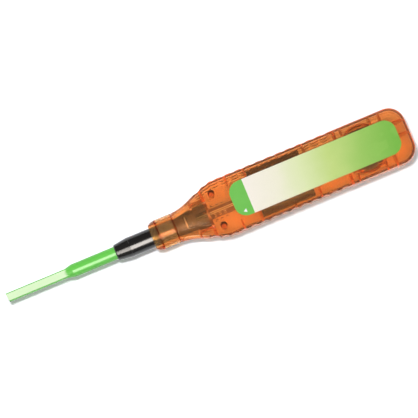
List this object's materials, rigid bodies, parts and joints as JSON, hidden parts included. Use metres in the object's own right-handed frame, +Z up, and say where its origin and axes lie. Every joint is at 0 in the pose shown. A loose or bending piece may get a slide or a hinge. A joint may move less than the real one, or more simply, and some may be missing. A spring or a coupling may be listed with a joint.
{
  "type": "fibre connector cleaning pen",
  "caption": "Click-action cleaning pen for fibre connectors: translucent handle with thread reels, sliding nozzle and square green guide tip.",
  "frame": {"origin": "bottom centre of the pen's box, as it lies on its flat back", "axes": "+X from the nose to the tail, +Y across, +Z up through the labelled face"},
  "size_m": [0.2175, 0.0296, 0.019],
  "materials": {
    "orange_clear": "translucent orange moulded plastic",
    "green_plastic": "moulded green plastic",
    "black_plastic": "black moulded plastic",
    "grey_plastic": "grey matt moulded plastic",
    "amber_plastic": "natural moulded plastic",
    "white_plastic": "natural white moulded plastic",
    "steel": "ground steel pin",
    "spring_steel": "drawn spring wire",
    "felt": "pressed felt",
    "thread": "twisted microfibre thread",
    "label": "printed film label, green and cream"
  },
  "bodies": {
    "housing": {"upper_shell": "orange_clear", "lower_shell": "orange_clear", "nose_collar": "orange_clear", "front_label": "label", "reel_frame": "black_plastic", "takeup_axle": "steel", "supply_axle": "steel", "brake_washer": "felt", "axle_clip": "steel", "guide_bars": "steel", "thread_guide_pin": "steel", "groove_peg": "steel", "return_spring": "spring_steel", "cleaning_thread": "thread"},
    "carriage": {"guide_tube": "green_plastic", "nozzle": "black_plastic", "rotor_case": "grey_plastic", "rotor_retainer": "grey_plastic", "slide_tray": "amber_plastic"},
    "rotor_barrel": {"rotor": "white_plastic", "spring_seat": "white_plastic", "head_spring": "spring_steel"},
    "head": {"head_stem": "white_plastic", "cleaning_head": "white_plastic", "tip_thread": "thread"},
    "gear": {"drive_gear": "white_plastic"},
    "takeup": {"takeup_reel": "black_plastic", "takeup_roll": "thread"},
    "supply": {"supply_reel": "black_plastic", "supply_roll": "thread"}
  },
  "joints": [
    {"name": "push_slide", "type": "slide", "parent": "housing", "child": "carriage", "axis": [1, 0, 0], "range_m": [0, 0.011], "stiffness_N_per_m": 250, "springref_m": -0.012, "deforming": ["return_spring", "cleaning_thread"]},
    {"name": "rotor_turn", "type": "hinge", "parent": "carriage", "child": "rotor_barrel", "pos_m": [-0.01675, 0, 0.0095], "axis": [1, 0, 0], "range_deg": [0, 180.5]},
    {"name": "head_slide", "type": "slide", "parent": "rotor_barrel", "child": "head", "axis": [1, 0, 0], "range_m": [0, 0.0015], "stiffness_N_per_m": 300, "springref_m": -0.003, "deforming": ["head_spring"]},
    {"name": "gear_turn", "type": "hinge", "parent": "housing", "child": "gear", "pos_m": [0.03925, 0, 0.0095], "axis": [0, 0, 1], "range_deg": [0, 158]},
    {"name": "takeup_turn", "type": "hinge", "parent": "housing", "child": "takeup", "pos_m": [0.03925, 0, 0.0095], "axis": [0, 0, 1], "range_deg": [0, 158]},
    {"name": "supply_turn", "type": "hinge", "parent": "housing", "child": "supply", "pos_m": [0.08425, 0, 0.0095], "axis": [0, 0, 1], "range_deg": [0, 75]}
  ],
  "couplings": [
    {"joint": "rotor_turn", "follows": "push_slide", "rad_per_m": 285.6},
    {"joint": "gear_turn", "follows": "push_slide", "rad_per_m": 250},
    {"joint": "takeup_turn", "follows": "push_slide", "rad_per_m": 250},
    {"joint": "supply_turn", "follows": "push_slide", "rad_per_m": 117.35}
  ]
}
